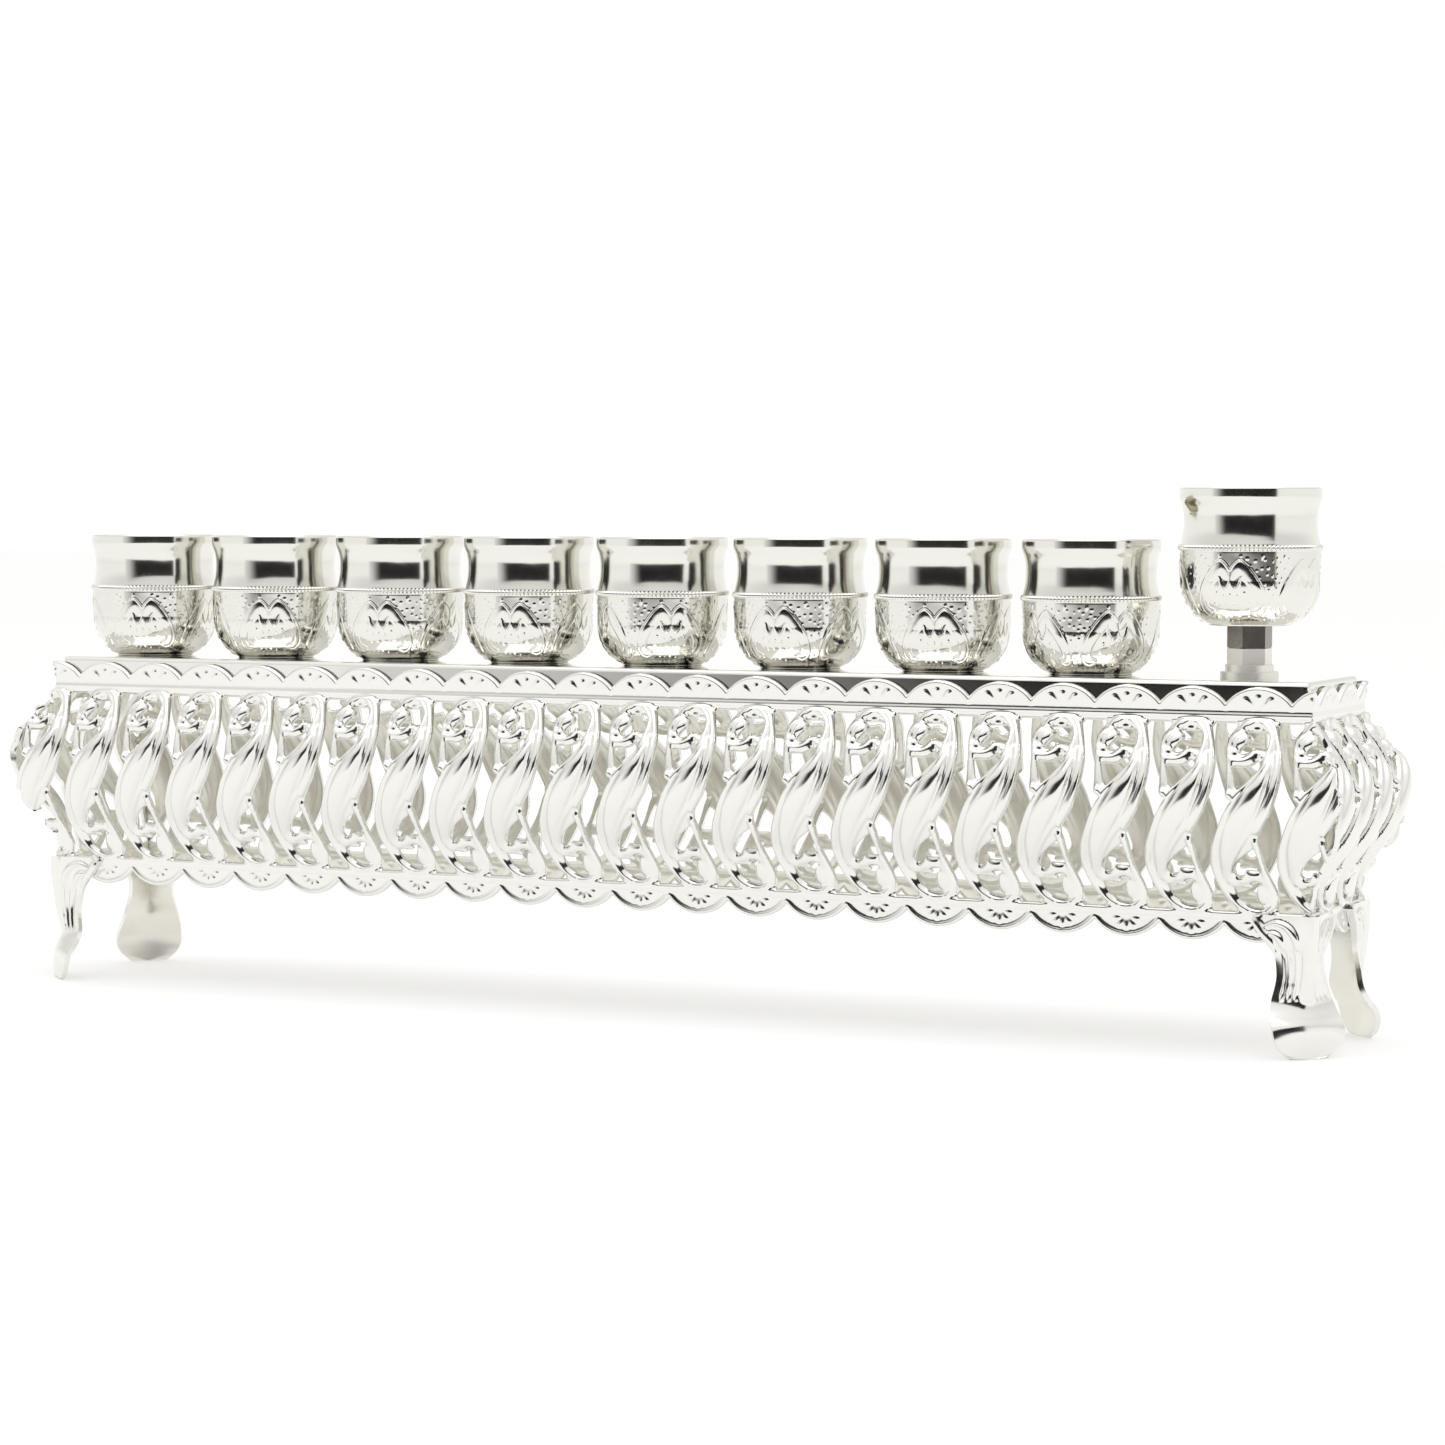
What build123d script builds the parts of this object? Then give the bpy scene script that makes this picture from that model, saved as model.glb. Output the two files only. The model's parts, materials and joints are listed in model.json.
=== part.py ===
from build123d import *
import os
from math import sqrt

# Menorah with a pierced box stand: eight cups in a row and a raised shamash cup.
# Frame: X along the row of cups, -Y towards the viewer, +Z up, millimetres.
# Origin: on the surface that the feet stand on, under the middle of the top plate.

# ---- driving dimensions -------------------------------------------------------------
plate_length = 296.4            # top plate along X
plate_depth = 34.4              # top plate along Y
plate_top = 74.3                # top face of the plate above the soles of the feet
plate_sheet = 1.0               # thickness of the plate's sheet
plate_flange = 6.0              # height of the plate's turned-down edge
plate_bend = 1.2                # outer radius of that bend

gallery_sheet = 0.8             # thickness of the pressed galleries
pitch = 13.7                    # width of one pressed motif and of one scallop
first_notch = 5.6               # left end of the plate to the first scallop notch
foot_sheet = 1.0                # thickness of the pressed feet

cup_pitch = 32.93               # between the centres of neighbouring cups
first_cup = -134.2              # X of the first cup
cup_count = 8
cup_height = 27.7
cup_sheet = 0.8                 # thickness of the spun cups
shamash_x = 130.4               # X of the raised ninth cup

seat_gap = 0.05                 # play above and below a cup's floor
screw_radius = 2.5              # M5 screws hold every cup
cup_hole_radius = 2.55          # hole in a cup's floor, turning on the screw
plate_hole_radius = 2.7         # clearance holes in the top plate
thread_root_radius = 2.4        # bores of the nuts, cut into the screws' thread
nut_across_flats = 8.0
nut_height = 4.7
washer_radius = 5.0
washer_thickness = 1.0
screw_tail = 1.2                # thread that shows below the lower nut
head_radius = 4.75              # button head inside each cup
head_height = 2.75
head_rim = 1.0                  # height of the button head's straight edge
hex_socket = 3.0                # across flats
socket_depth = 1.6
flange_nut_radius = 5.9         # flange of the nut that the shamash stands on
flange_nut_flange = 1.2
flange_nut_step = 1.4
flange_nut_step_radius = 4.9
flange_nut_height = 5.9

half_length = plate_length / 2
half_depth = plate_depth / 2

# Section of a gallery's outer face: (outward, height from the plate's top face).
# The ogee is four arcs, upright at both bands and where the belly is widest.
upper_band = (0.8, -7.5)
upper_turn = (2.2, -11.0)
belly_front = (8.4, -24.0)
lower_turn = (3.4, -37.3)
lower_band = (0.8, -44.5)
gallery_top = -0.6
gallery_bottom = -51.8
molding_height = 1.4
molding_stand_out = 0.5

notch_level = -4.4              # upper scallops: their notches and their peaks
peak_level = -1.1
lower_notch_level = -48.2       # lower scallops, pointing down
lower_peak_level = -51.4
mitre_reach = 14.0              # size of the block that cuts a gallery's mitred ends
end_margin = 3.0                # unpierced sheet left beside each mitre

# Outlines pierced through every motif: (along the pitch, height from the plate's top).
gap_left = [(10.5, -8.1), (12.1, -14.0), (12.6, -19.5), (10.1, -27.2), (8.3, -32.0),
            (9.2, -37.2), (11.0, -43.0), (10.8, -44.4)]
gap_right = [(16.5, -44.4), (14.3, -39.0), (13.5, -33.5), (14.9, -27.2), (16.4, -23.2),
             (15.4, -18.0), (14.5, -12.0), (15.9, -8.1)]
upper_hole = [(4.7, -9.8), (7.8, -9.3), (10.0, -12.0), (9.4, -13.5), (7.0, -13.4),
              (3.8, -14.0), (5.4, -11.4)]
middle_hole = [(2.6, -16.4), (8.6, -16.0), (6.6, -18.9), (4.0, -21.0)]
teardrop_hole = [(7.0, -33.3), (7.7, -36.8), (6.6, -37.9), (3.2, -39.0), (4.4, -36.0)]
crescent_hole = [(2.3, -39.8), (6.0, -40.0), (5.4, -41.6), (7.6, -43.2), (5.0, -43.0)]

# Sections of a foot, from its top down: height above the sole, how far the outer ridge
# stands out from the plate's corner along the diagonal, how far the edges lie behind
# the ridge, and half the width.
foot_sections = [
    (28.3, 2.60, 8.6, 8.6),
    (27.2, 2.60, 8.8, 8.8),
    (23.4, 2.60, 7.0, 7.4),
    (20.6, 2.20, 5.4, 5.6),
    (17.0, 1.70, 4.2, 5.4),
    (14.5, 1.20, 3.0, 5.9),
    (11.2, 0.40, 1.5, 7.0),
    (8.4, 1.50, 1.2, 7.9),
    (5.4, 2.50, 0.9, 8.0),
    (3.5, 2.90, 0.7, 6.8),
    (1.5, 2.80, 0.5, 4.4),
    (0.0, 2.60, 0.2, 2.4),
]

# Half section of a cup: (radius, height above its own base), outer face.
cup_base_radius = 8.3
cup_wall_radius = 14.2
cup_bowl_height = 9.0           # where the round bowl becomes the upright wall
cup_ring_height = 15.8
cup_ring_stand_out = 0.6
cup_waist = [(14.2, 16.6), (13.4, 20.4), (13.9, 24.4)]
cup_rim = (14.35, cup_height)


# ---- helpers ------------------------------------------------------------------------
def save(shape, name):
    shape.label = name
    export_step(shape, os.path.join("parts", name + ".step"))


def disc(radius, bottom, height, x=0.0):
    """An upright round bar on the row's centre line, standing on the level bottom."""
    return Pos(x, 0, bottom) * extrude(Circle(radius), height)


def hexagon(across_flats, bottom, height, x=0.0):
    """An upright hexagonal bar, one flat pair across X."""
    shape = RegularPolygon(across_flats / 2, 6, major_radius=False, rotation=30)
    return Pos(x, 0, bottom) * extrude(shape, height)


def behind(curve, thickness, steps):
    """Points of the curve that lies a sheet's thickness behind a section curve."""
    points = []
    for step in range(steps + 1):
        place = curve @ (step / steps)
        along = curve % (step / steps)
        points.append((place.X + along.Y * thickness, place.Y - along.X * thickness))
    return points


def closed_face(outline):
    """A flat face inside a smooth closed curve through the outline's points."""
    return make_face(Spline(*outline, periodic=True))


# ---- top plate ----------------------------------------------------------------------
def cup_places():
    return [first_cup + cup_pitch * number for number in range(cup_count)]


def make_top_plate():
    """Folded sheet tray, open below, with one hole for the screw of each cup."""
    block = Box(plate_length, plate_depth, plate_flange)
    block = fillet(block.edges().filter_by(Axis.Z), plate_bend)
    block = fillet(block.faces().sort_by(Axis.Z)[-1].edges(), plate_bend - 0.1)
    plate = Pos(0, 0, plate_top - plate_flange / 2) * block
    inner_length = plate_length - 2 * plate_sheet
    inner_depth = plate_depth - 2 * plate_sheet
    room = Box(inner_length, inner_depth, plate_flange)
    plate -= Pos(0, 0, plate_top - plate_flange / 2 - plate_sheet) * room
    for x in cup_places() + [shamash_x]:
        plate -= disc(plate_hole_radius, plate_top - 2 * plate_sheet, 3 * plate_sheet, x)
    return plate


# ---- galleries ----------------------------------------------------------------------
def gallery_section():
    """Section of the bombe sheet: outward along X, height along Y."""
    outer = [
        TangentArc(upper_band, upper_turn, tangent=(0, -1)),
        TangentArc(belly_front, upper_turn, tangent=(0, 1)),
        TangentArc(belly_front, lower_turn, tangent=(0, -1)),
        TangentArc(lower_band, lower_turn, tangent=(0, 1)),
    ]
    inner = [Pos(-gallery_sheet, 0) * arc for arc in outer]
    back_top = (upper_band[0] - gallery_sheet, upper_band[1])
    back_bottom = (lower_band[0] - gallery_sheet, lower_band[1])
    over_top = Polyline(
        back_top, (back_top[0], gallery_top), (upper_band[0], gallery_top), upper_band)
    under_bottom = Polyline(
        lower_band, (lower_band[0], gallery_bottom),
        (back_bottom[0], gallery_bottom), back_bottom)
    return make_face([over_top, *outer, under_bottom, *inner])


def molding(level, outward):
    """Section of the raised line above or below the pierced zone."""
    low = level - molding_height / 2
    return Polygon(
        (outward - 0.1, low), (outward + molding_stand_out, low + 0.3),
        (outward + molding_stand_out, low + molding_height - 0.3),
        (outward - 0.1, low + molding_height), align=None,
    )


def scallop_cutter(length, offset, notches, peaks, far_level):
    """Sheet to remove beyond the row of scallops: (along, height) face."""
    count = int(length / pitch) + 4
    start = offset - 2 * pitch
    edges = []
    for number in range(count):
        left = start + number * pitch
        edges.append(ThreePointArc(
            (left, notches), (left + pitch / 2, peaks), (left + pitch, notches)))
    end = start + count * pitch
    edges.append(Line((end, notches), (end, far_level)))
    edges.append(Line((end, far_level), (start, far_level)))
    edges.append(Line((start, far_level), (start, notches)))
    return make_face(edges)


def piercings(length, offset):
    """The faces pierced out of a gallery, in (along, height)."""
    gap = make_face([
        Spline(*gap_left),
        Line(gap_left[-1], gap_right[0]),
        Spline(*gap_right),
        Line(gap_right[-1], gap_left[0]),
    ])
    holes = [closed_face(outline) for outline in
             (upper_hole, middle_hole, teardrop_hole, crescent_hole)]
    faces = []
    limit = length / 2 - end_margin
    for number in range(-1, int(length / pitch) + 1):
        left = offset + number * pitch
        for face in [gap] + holes:
            moved = Pos(left, 0) * face
            box = moved.bounding_box()
            if box.min.X > -limit and box.max.X < limit:
                faces.append(moved)
    return faces


def make_gallery(length, offset):
    """Upper and lower half of a gallery for a plate edge along X, on its -Y side.

    The offset is the gallery's first notch; the halves meet where the belly is widest.
    """
    sections = [
        gallery_section(),
        molding(upper_band[1] + molding_height / 2, upper_band[0]),
        molding(lower_band[1] - molding_height / 2, lower_band[0]),
    ]
    full = length + 2 * mitre_reach
    panel = None
    for section in sections:
        # the section's X becomes -Y, its Y becomes Z, and it is drawn out along X
        upright = Plane(origin=(-full / 2, 0, 0), x_dir=(0, -1, 0), z_dir=(-1, 0, 0))
        bar = extrude(upright * section, -full)
        panel = bar if panel is None else panel + bar
    facing = Plane(origin=(0, 0, 0), x_dir=(1, 0, 0), z_dir=(0, -1, 0))
    above = scallop_cutter(length, offset, notch_level, peak_level, gallery_top + 3)
    below = scallop_cutter(
        length, offset, lower_notch_level, lower_peak_level, gallery_bottom - 3)
    panel -= extrude(facing * above, mitre_reach, both=True)
    panel -= extrude(facing * below, mitre_reach, both=True)
    tools = [extrude(facing * face, mitre_reach, both=True)
             for face in piercings(length, offset)]
    panel = panel.cut(*tools)
    trapezoid = Polygon(
        (-length / 2 - mitre_reach, -mitre_reach), (length / 2 + mitre_reach, -mitre_reach),
        (length / 2 - 2, 2), (-length / 2 + 2, 2), align=None,
    )
    halves = []
    for low, high in ((belly_front[1], 10), (-60, belly_front[1])):
        keeper = Pos(0, 0, low) * extrude(trapezoid, high - low)
        halves.append(Pos(0, 0, plate_top) * (keeper & panel))
    return halves


def placed(halves, location):
    return Compound(children=[location * half for half in halves])


# ---- feet ---------------------------------------------------------------------------
def foot_outline(level, ridge, drop, half_width):
    """Chevron section of a foot: X outward along the diagonal, Y across it."""
    slant = sqrt(drop * drop + half_width * half_width)
    back = foot_sheet * slant / half_width
    step = foot_sheet * drop / slant
    points = [
        (ridge, 0), (ridge - drop, half_width),
        (ridge - drop - foot_sheet * half_width / slant, half_width - step),
        (ridge - back, 0),
        (ridge - drop - foot_sheet * half_width / slant, step - half_width),
        (ridge - drop, -half_width),
    ]
    return Pos(0, 0, level) * Polygon(*points, align=None)


def make_foot():
    """Pressed leg that wraps the corner, narrows, and kicks out to a spoon toe."""
    sections = [foot_outline(*section) for section in foot_sections]
    return loft(sections, ruled=True)


# ---- cups and their fasteners -------------------------------------------------------
def make_cup(base_level, x):
    """Spun cup with a round bowl, a beaded ring, a waist and a flared rim."""
    wall_foot = (cup_wall_radius, cup_bowl_height)
    wall_top = (cup_wall_radius, cup_ring_height - 1.2)
    bowl = TangentArc(wall_foot, (cup_base_radius, 0), tangent=(0, -1))
    wall = Line(wall_top, wall_foot)
    ring_radius = cup_wall_radius + cup_ring_stand_out
    ring = Polyline(wall_top, (ring_radius, cup_ring_height - 0.5),
                    (ring_radius, cup_ring_height + 0.3), cup_waist[0])
    waist = ThreePointArc(*cup_waist)
    flare = Line(cup_waist[-1], cup_rim)
    rim = Line(cup_rim, (cup_rim[0] - cup_sheet, cup_height))
    inner = [(radius - cup_sheet, level) for radius, level in cup_waist]
    inner_flare = Line((cup_rim[0] - cup_sheet, cup_height), inner[-1])
    inner_waist = ThreePointArc(*inner)
    inner_wall = Polyline(inner[0], (cup_wall_radius - cup_sheet, cup_ring_height),
                          (cup_wall_radius - cup_sheet, cup_bowl_height))
    bowl_radius = bowl.radius - cup_sheet
    floor_edge = cup_wall_radius - bowl.radius + sqrt(
        bowl_radius**2 - (cup_bowl_height - cup_sheet)**2)
    inner_bowl = TangentArc(inner_wall @ 1, (floor_edge, cup_sheet), tangent=(0, -1))
    floor = Polyline((floor_edge, cup_sheet), (cup_hole_radius, cup_sheet),
                     (cup_hole_radius, 0), (cup_base_radius, 0))
    half = make_face([bowl, wall, ring, waist, flare, rim,
                      inner_flare, inner_waist, inner_wall, inner_bowl, floor])
    cup = revolve(Plane.XZ * half, Axis.Z)
    return Pos(x, 0, base_level) * cup


def make_screw(x, floor_top, tip):
    """Button-head screw standing on its tail: head inside the cup, thread below."""
    under_head = floor_top + seat_gap
    shank = disc(screw_radius, tip, under_head - tip, x)
    head = disc(head_radius, under_head, head_height, x)
    crown = head.faces().sort_by(Axis.Z)[-1].edges()
    head = chamfer(crown, head_height - head_rim, 2.4, reference=head.faces().sort_by(Axis.Z)[-1])
    socket = hexagon(hex_socket, under_head + head_height - socket_depth, socket_depth + 1, x)
    return (shank + head) - socket


def make_nut(x, bottom, height=nut_height):
    """Hexagon nut with chamfered corners."""
    corner = nut_across_flats / sqrt(3)
    blank = hexagon(nut_across_flats, bottom, height, x)
    cone = disc(corner, bottom, height, x)
    cone = chamfer(cone.edges(), 0.35)
    return (blank & cone) - disc(thread_root_radius, bottom - 1, height + 2, x)


def make_washer(x, bottom):
    return disc(washer_radius, bottom, washer_thickness, x) - disc(
        plate_hole_radius, bottom - 1, washer_thickness + 2, x)


def make_flange_nut(x, bottom):
    """Hexagon nut on a stepped round flange, bored for the screw's thread."""
    nut = disc(flange_nut_radius, bottom, flange_nut_flange, x)
    nut += disc(flange_nut_step_radius, bottom + flange_nut_flange, flange_nut_step, x)
    hex_bottom = bottom + flange_nut_flange + flange_nut_step
    hex_height = flange_nut_height - flange_nut_flange - flange_nut_step
    nut += hexagon(nut_across_flats, hex_bottom, hex_height, x)
    return nut - disc(thread_root_radius, bottom - 1, flange_nut_height + 2, x)


# ---- assembly -----------------------------------------------------------------------
os.makedirs("parts", exist_ok=True)

save(make_top_plate(), "top_plate")

long_offset = -half_length + first_notch
short_offset = -half_depth + (plate_depth - 2 * pitch) / 2
long_gallery = make_gallery(plate_length, long_offset)
short_gallery = make_gallery(plate_depth, short_offset)
save(placed(long_gallery, Pos(0, -half_depth, 0)), "gallery_front")
save(placed(long_gallery, Pos(0, half_depth, 0) * Rot(0, 0, 180)), "gallery_back")
save(placed(short_gallery, Pos(-half_length, 0, 0) * Rot(0, 0, -90)), "gallery_left")
save(placed(short_gallery, Pos(half_length, 0, 0) * Rot(0, 0, 90)), "gallery_right")

foot = make_foot()
for name, side_x, side_y, turn in (
        ("foot_front_left", -1, -1, 225), ("foot_front_right", 1, -1, 315),
        ("foot_back_left", -1, 1, 135), ("foot_back_right", 1, 1, 45)):
    save(Pos(side_x * half_length, side_y * half_depth, 0) * (Rot(0, 0, turn) * foot), name)

cup_base = plate_top + seat_gap
cup_floor = cup_base + cup_sheet
under_plate = plate_top - plate_sheet
washer_bottom = under_plate - washer_thickness
nut_bottom = washer_bottom - nut_height
screw_tip = nut_bottom - screw_tail

for number, x in enumerate(cup_places(), start=1):
    save(make_cup(cup_base, x), f"cup_{number}")
save(Compound(children=[make_screw(x, cup_floor, screw_tip) for x in cup_places()]),
     "cup_screws")
save(Compound(children=[make_washer(x, washer_bottom) for x in cup_places()]),
     "cup_washers")
save(Compound(children=[make_nut(x, nut_bottom) for x in cup_places()]), "cup_nuts")

upper_nut_bottom = plate_top + flange_nut_height
shamash_base = upper_nut_bottom + nut_height + seat_gap
save(make_flange_nut(shamash_x, plate_top), "shamash_flange_nut")
save(make_nut(shamash_x, upper_nut_bottom), "shamash_upper_nut")
save(make_cup(shamash_base, shamash_x), "shamash_cup")
save(make_screw(shamash_x, shamash_base + cup_sheet, screw_tip), "shamash_screw")
save(make_washer(shamash_x, washer_bottom), "shamash_washer")
save(make_nut(shamash_x, nut_bottom), "shamash_lower_nut")
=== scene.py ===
import json
import math

import bpy
import numpy as np
from mathutils import Matrix, Vector

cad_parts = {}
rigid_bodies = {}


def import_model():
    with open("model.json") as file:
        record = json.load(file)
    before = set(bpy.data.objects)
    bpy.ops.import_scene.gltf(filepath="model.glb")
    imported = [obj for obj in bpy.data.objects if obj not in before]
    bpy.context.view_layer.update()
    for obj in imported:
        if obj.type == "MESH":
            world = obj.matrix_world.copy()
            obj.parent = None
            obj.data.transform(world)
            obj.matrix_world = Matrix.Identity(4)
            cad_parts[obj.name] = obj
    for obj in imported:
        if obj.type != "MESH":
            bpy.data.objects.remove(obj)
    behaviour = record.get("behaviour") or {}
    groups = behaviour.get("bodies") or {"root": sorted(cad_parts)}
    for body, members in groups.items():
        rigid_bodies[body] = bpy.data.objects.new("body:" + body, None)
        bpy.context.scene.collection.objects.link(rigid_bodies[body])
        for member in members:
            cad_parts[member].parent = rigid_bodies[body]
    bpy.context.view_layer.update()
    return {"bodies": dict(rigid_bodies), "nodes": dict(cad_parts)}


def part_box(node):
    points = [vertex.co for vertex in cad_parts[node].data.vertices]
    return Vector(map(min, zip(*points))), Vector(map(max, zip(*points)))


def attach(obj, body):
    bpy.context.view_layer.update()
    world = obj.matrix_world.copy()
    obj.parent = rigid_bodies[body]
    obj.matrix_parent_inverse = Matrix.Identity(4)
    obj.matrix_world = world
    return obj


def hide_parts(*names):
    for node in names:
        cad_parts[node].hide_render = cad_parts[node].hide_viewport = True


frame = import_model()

# Looks of a silver-plated menorah: four pierced and pressed galleries round a polished
# plate, four pressed feet, nine engraved cups. Shapes are worked out in millimetres, in
# the frame of the CAD model, and scaled to metres where a mesh is made.

MM = 0.001


def box_mm(node):
    """Lowest and highest corner of a CAD node, in millimetres."""
    low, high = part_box(node)
    return np.array(low) / MM, np.array(high) / MM


plate_low, plate_high = box_mm("top_plate")
HALF_LENGTH = plate_high[0]
HALF_DEPTH = plate_high[1]
PLATE_TOP = plate_high[2]
ROOT = next(name for name in frame["bodies"] if not name.endswith("_turning"))


# ---- meshes -------------------------------------------------------------------------
def add_mesh(name, points, groups, materials, slots=None, crease=40.0):
    """Mesh from points in mm and arrays of faces; slots gives each array's material."""
    mesh = bpy.data.meshes.new(name)
    loops = np.concatenate([faces.ravel() for faces in groups])
    sizes = np.concatenate([np.full(len(faces), faces.shape[1]) for faces in groups])
    mesh.vertices.add(len(points))
    mesh.vertices.foreach_set("co", (np.asarray(points) * MM).astype(np.float32).ravel())
    mesh.loops.add(len(loops))
    mesh.loops.foreach_set("vertex_index", loops.astype(np.int32))
    mesh.polygons.add(len(sizes))
    starts = np.concatenate([[0], np.cumsum(sizes)[:-1]])
    mesh.polygons.foreach_set("loop_start", starts.astype(np.int32))
    for material in materials:
        mesh.materials.append(material)
    if slots is not None:
        index = np.concatenate([np.full(len(f), s) for f, s in zip(groups, slots)])
        mesh.polygons.foreach_set("material_index", index.astype(np.int32))
    mesh.update(calc_edges=True)
    mesh.polygons.foreach_set("use_smooth", np.ones(len(sizes), bool))
    mesh.set_sharp_from_angle(angle=math.radians(crease))
    return mesh


def add_object(name, mesh, turn=0.0, at=(0.0, 0.0, 0.0)):
    """Object of a mesh, turned about Z by degrees and moved by millimetres."""
    made = bpy.data.objects.new(name, mesh)
    bpy.context.scene.collection.objects.link(made)
    move = Matrix.Translation(Vector(at) * MM)
    made.matrix_world = move @ Matrix.Rotation(math.radians(turn), 4, "Z")
    return made


# ---- relief drawing -----------------------------------------------------------------
def smooth_path(points, closed=False, steps=6):
    """Smooth curve through rows of numbers; columns after the second are carried along."""
    rows = np.array(points, float)
    if closed:
        ring = np.vstack([rows[-1:], rows, rows[:2]])
    else:
        ring = np.vstack([2 * rows[:1] - rows[1:2], rows, 2 * rows[-1:] - rows[-2:-1]])
    curve = []
    for a, b, c, d in zip(ring, ring[1:], ring[2:], ring[3:]):
        for t in np.arange(steps) / steps:
            cubic = (2 * a - 5 * b + 4 * c - d) * t**2 + (3 * b - a - 3 * c + d) * t**3
            curve.append(0.5 * (2 * b + (c - a) * t + cubic))
    if not closed:
        curve.append(rows[-1])
    return np.array(curve)


def along_path(x, y, path, closed=False):
    """Least distance from each point to a path, and the path's other columns there."""
    ends = np.roll(path, -1, axis=0) if closed else path[1:]
    starts = path if closed else path[:-1]
    nearest = np.full(x.shape, 1e9)
    carried = [np.zeros(x.shape) for _ in range(path.shape[1] - 2)]
    for a, b in zip(starts, ends):
        dx, dy = b[0] - a[0], b[1] - a[1]
        t = np.clip(((x - a[0]) * dx + (y - a[1]) * dy) / (dx * dx + dy * dy + 1e-12), 0, 1)
        distance = np.hypot(x - a[0] - t * dx, y - a[1] - t * dy)
        closer = distance < nearest
        nearest = np.where(closer, distance, nearest)
        for k, values in enumerate(carried):
            carried[k] = np.where(closer, a[2 + k] + t * (b[2 + k] - a[2 + k]), values)
    return nearest, carried


def signed_distance(x, y, points):
    """Distance to a smooth closed outline, negative inside it."""
    path = smooth_path(points, closed=True)
    distance, _ = along_path(x, y, path, closed=True)
    inside = np.zeros(x.shape, bool)
    for a, b in zip(path, np.roll(path, -1, axis=0)):
        if a[1] == b[1]:
            continue
        crossing = a[0] + (y - a[1]) * (b[0] - a[0]) / (b[1] - a[1])
        inside ^= ((a[1] > y) != (b[1] > y)) & (x < crossing)
    return np.where(inside, -distance, distance)


def stroke(x, y, points):
    """Raised line: each point of it is x, y, half-width, height."""
    distance, (width, height) = along_path(x, y, smooth_path(points))
    return height * np.clip(1 - (distance / np.maximum(width, 1e-3)) ** 2, 0, 1) ** 0.6


def broad_stroke(x, y, points):
    """Raised band with a nearly level top and steep sides."""
    distance, (width, height) = along_path(x, y, smooth_path(points))
    share = np.clip(distance / np.maximum(width, 1e-3), 0, 1)
    return height * (0.75 * (1 - share**6) + 0.25 * (1 - share**2))


def line(x, y, points, width, height):
    return stroke(x, y, [(px, py, width, height) for px, py in points])


def mound(x, y, centre, radii, height, turn=0.0):
    """Raised oval."""
    c, s = math.cos(math.radians(turn)), math.sin(math.radians(turn))
    dx, dy = x - centre[0], y - centre[1]
    across = ((dx * c + dy * s) / radii[0]) ** 2 + ((dy * c - dx * s) / radii[1]) ** 2
    return height * np.clip(1 - across, 0, 1) ** 0.55


def blend_max(a, b, soft=0.15):
    """Larger of two heights, with a soft joint between them."""
    share = np.clip(0.5 + 0.5 * (a - b) / soft, 0, 1)
    return b + (a - b) * share + soft * share * (1 - share)


# ---- materials ----------------------------------------------------------------------
def make_material(name, colour, roughness, metallic=1.0, variation=0.0, dent=0.0, scale=60.0):
    """Metal with an uneven gloss and a faint unevenness of the sheet."""
    material = bpy.data.materials.new(name)
    material.use_nodes = True
    nodes, links = material.node_tree.nodes, material.node_tree.links
    shader = nodes["Principled BSDF"]
    shader.inputs["Base Color"].default_value = (*colour, 1.0)
    shader.inputs["Metallic"].default_value = metallic
    shader.inputs["Roughness"].default_value = roughness
    place = nodes.new("ShaderNodeTexCoord")
    if variation:
        cloud = nodes.new("ShaderNodeTexNoise")
        cloud.inputs["Scale"].default_value = scale * 4
        cloud.inputs["Detail"].default_value = 4.0
        spread = nodes.new("ShaderNodeMapRange")
        spread.inputs["To Min"].default_value = max(roughness - variation, 0.02)
        spread.inputs["To Max"].default_value = roughness + variation
        links.new(place.outputs["Object"], cloud.inputs["Vector"])
        links.new(cloud.outputs["Fac"], spread.inputs["Value"])
        links.new(spread.outputs["Result"], shader.inputs["Roughness"])
    if dent:
        wave = nodes.new("ShaderNodeTexNoise")
        wave.inputs["Scale"].default_value = scale
        wave.inputs["Detail"].default_value = 2.0
        bump = nodes.new("ShaderNodeBump")
        bump.inputs["Strength"].default_value = 1.0
        bump.inputs["Distance"].default_value = dent
        links.new(place.outputs["Object"], wave.inputs["Vector"])
        links.new(wave.outputs["Fac"], bump.inputs["Height"])
        links.new(bump.outputs["Normal"], shader.inputs["Normal"])
    return material


SILVER = make_material("pressed_silver", (0.83, 0.825, 0.795), 0.15, variation=0.04,
                       dent=0.00005, scale=90.0)
SILVER_CUP = make_material("cup_silver", (0.80, 0.79, 0.745), 0.13, variation=0.03,
                           dent=0.0002, scale=75.0)
SILVER_PLATE = make_material("plate_silver", (0.82, 0.81, 0.775), 0.07, variation=0.03,
                             dent=0.00005, scale=14.0)
LACQUER = make_material("inner_lacquer", (0.90, 0.885, 0.82), 0.36, metallic=0.8,
                        variation=0.05)
CUP_INSIDE = make_material("cup_inside", (0.66, 0.62, 0.48), 0.30, metallic=0.9,
                           variation=0.05)
STEEL = make_material("zinc_steel", (0.27, 0.25, 0.23), 0.26, variation=0.08)
NICKEL = make_material("nickel_steel", (0.88, 0.86, 0.81), 0.42, metallic=0.7, variation=0.05)


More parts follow.
